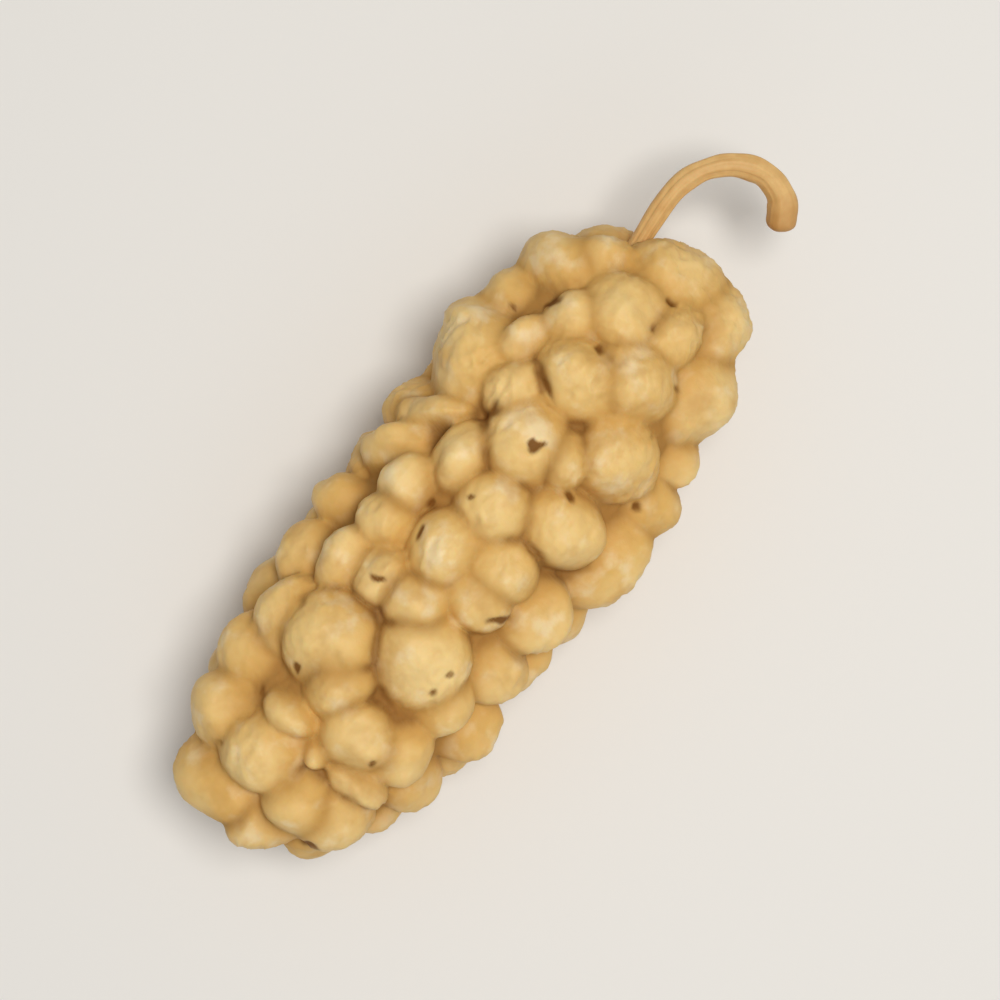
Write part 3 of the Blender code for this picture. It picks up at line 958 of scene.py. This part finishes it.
def with_painted_shade(tree, skin):
    """The skin's colour, amber in the valleys and low down and brown in the creases."""
    low = maths(tree, "MULTIPLY", (attribute(tree, "low", (-600, 100)), UNDERSIDE_SHADE_SHARE), (-400, 100))
    valley_shade = attribute(tree, "valley_shade", (-600, -100))
    valley_shade = maths(tree, "MULTIPLY", (valley_shade, VALLEY_SHADE_SHARE), (-400, -100))
    amber_shade = maths(tree, "ADD", (low, valley_shade), (-200, 0))
    # Painted shade: amber towards the underside and in the valleys
    skin = mix(tree, amber_shade, skin, AMBER_STAIN_AND_SHADE, (0, 100))
    # Painted shade: brown in the creases
    crease = attribute(tree, "crease", (-200, -200))
    crease = maths(tree, "MULTIPLY", (crease, CREASE_SHADE_SHARE), (0, -200))
    return mix(tree, crease, skin, CREASE_SHADE_BROWN, (200, 100))
# The skin's colour with painted shade: amber in the valleys and low down, and brown in the creases.


def scars(tree):
    """How much of the scars' colour shows."""
    dark = between(tree, attribute(tree, "dark", (0, -400)), SCAR_RANGE, (200, -400))
    return maths(tree, "MULTIPLY", (dark, SCAR_SHARE), (400, -400))


def flesh_surface(tree, shader, grain, dark):
    """The skin's waxy sheen, which is duller in the valleys, in scars and on the grain."""
    rough = (grain, GRAIN_ROUGHNESS, FLESH_ROUGHNESS)
    rough = maths(tree, "MULTIPLY_ADD", rough, (400, -600))
    dull = maths(tree, "MAXIMUM", (dark, attribute(tree, "valley_shade", (200, -800))), (400, -800))
    dull = maths(tree, "MULTIPLY", (dull, DULL_ROUGHNESS), (600, -800))
    rough = maths(tree, "ADD", (rough, dull), (800, -600))
    fill(tree, shader.inputs["Roughness"], rough)
    bump = node(tree, "ShaderNodeBump", (600, -1000))
    fill(tree, bump.inputs["Strength"], GRAIN_BUMP)
    fill(tree, bump.inputs["Distance"], GRAIN_HEIGHT)
    fill(tree, bump.inputs["Height"], grain)
    fill(tree, shader.inputs["Normal"], bump.outputs[0])


def flesh_material():
    made, tree, shader = new_material("mulberry_flesh")
    place = own_place(tree)
    skin = skin_tone_and_crest_highlight(tree, place)
    skin = with_patches(tree, skin, place, BLOOM_NOISE, BLOOM_RANGE, BLOOM_SHARE, BLOOM, 600)
    skin = with_patches(tree, skin, place, STAIN_NOISE, STAIN_RANGE, STAIN_SHARE, AMBER_STAIN_AND_SHADE, 300)
    skin = with_painted_shade(tree, skin)
    dark = scars(tree)
    fill(tree, shader.inputs["Base Color"], mix(tree, dark, skin, SCAR, (600, 100)))
    flesh_surface(tree, shader, noise(tree, place, GRAIN_NOISE, (200, -600)), dark)
    shader.inputs["Specular IOR Level"].default_value = FLESH_SPECULAR
    shader.inputs["IOR"].default_value = FLESH_IOR
    shader.inputs["Subsurface Weight"].default_value = FLESH_SUBSURFACE
    shader.inputs["Subsurface Radius"].default_value = FLESH_RADIUS
    shader.inputs["Subsurface Scale"].default_value = FLESH_SCALE
    return made


def stem_material():
    made, tree, shader = new_material("stem_straw")
    streaks = noise(tree, own_place(tree), STREAK_NOISE, (-800, 0))
    straw = mix(tree, streaks, STRAW, PALE_STRAW, (-400, 0))
    worn = attribute(tree, "worn", (-600, 200))
    worn = maths(tree, "MULTIPLY", (worn, WORN_SHARE), (-400, 200))
    fill(tree, shader.inputs["Base Color"], mix(tree, worn, straw, STEM_END, (-200, 0)))
    shader.inputs["Roughness"].default_value = STEM_ROUGHNESS
    shader.inputs["Subsurface Weight"].default_value = STEM_SUBSURFACE
    shader.inputs["Subsurface Scale"].default_value = STEM_SCALE
    return made


def floor_material():
    made, _, shader = new_material("floor_pale")
    shader.inputs["Base Color"].default_value = FLOOR_COLOUR
    shader.inputs["Roughness"].default_value = FLOOR_ROUGHNESS
    return made


def add_fruit():
    mesh, values = fruit_skin()
    add_values(mesh, values)
    mesh.shade_smooth()
    made = scene_object("fruit_fine", mesh)
    cut_hole(made)
    made.data.materials.clear()
    made.data.materials.append(flesh_material())
    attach(made, "root")
    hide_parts("fruit")


def add_stem():
    steps = np.linspace(0, 1, STEM_RINGS + 1)
    mesh = tube("stem_fine", steps, stem_radius, STEM_SIDES)
    worn = np.clip((steps - STEM_WORN_FROM) / (1 - STEM_WORN_FROM), 0, 1)
    add_values(mesh, {"worn": np.repeat(worn, STEM_SIDES)})
    mesh.shade_smooth()
    made = scene_object("stem_fine", mesh)
    mesh.materials.append(stem_material())
    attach(made, "root")
    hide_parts("stem")


def add_floor():
    bm = bmesh.new()
    bmesh.ops.create_grid(bm, x_segments=1, y_segments=1, size=FLOOR_HALF)
    mesh = bpy.data.meshes.new("floor")
    bm.to_mesh(mesh)
    bm.free()
    floor = scene_object("floor", mesh)
    mesh.materials.append(floor_material())


def add_light(name, place, size, power, colour):
    """A round soft light that points at the part."""
    lamp = bpy.data.lights.new(name, "AREA")
    lamp.shape = "DISK"
    lamp.size = size
    lamp.energy = power
    lamp.color = colour
    made = scene_object(name, lamp)
    made.location = place
    made.rotation_euler = (-Vector(place)).to_track_quat("-Z", "Y").to_euler()


def add_camera():
    """A long lens straight above, turned so that the stem points to the upper right."""
    lens = bpy.data.cameras.new("camera")
    lens.lens = CAMERA_LENS
    lens.sensor_width = CAMERA_SENSOR
    lens.clip_start = CAMERA_NEAR
    made = scene_object("camera", lens)
    turn = math.radians(CAMERA_TURN)
    right = Vector((math.cos(turn), math.sin(turn), 0))
    up = Vector((-math.sin(turn), math.cos(turn), 0))
    made.matrix_world = Matrix((right, up, Vector((0, 0, 1)))).transposed().to_4x4()
    made.location = (0.0, 0.0, CAMERA_HEIGHT)
    bpy.context.scene.camera = made


def add_world():
    """A soft light from all round."""
    world = bpy.data.worlds.new("studio")
    bpy.context.scene.world = world
    world.use_nodes = True
    back = world.node_tree.nodes["Background"]
    back.inputs["Color"].default_value = WORLD_COLOUR
    back.inputs["Strength"].default_value = WORLD_STRENGTH


add_fruit()
add_stem()
add_floor()
for light in LIGHTS:
    add_light(*light)
add_camera()
add_world()
bpy.context.scene.view_settings.view_transform = "Standard"
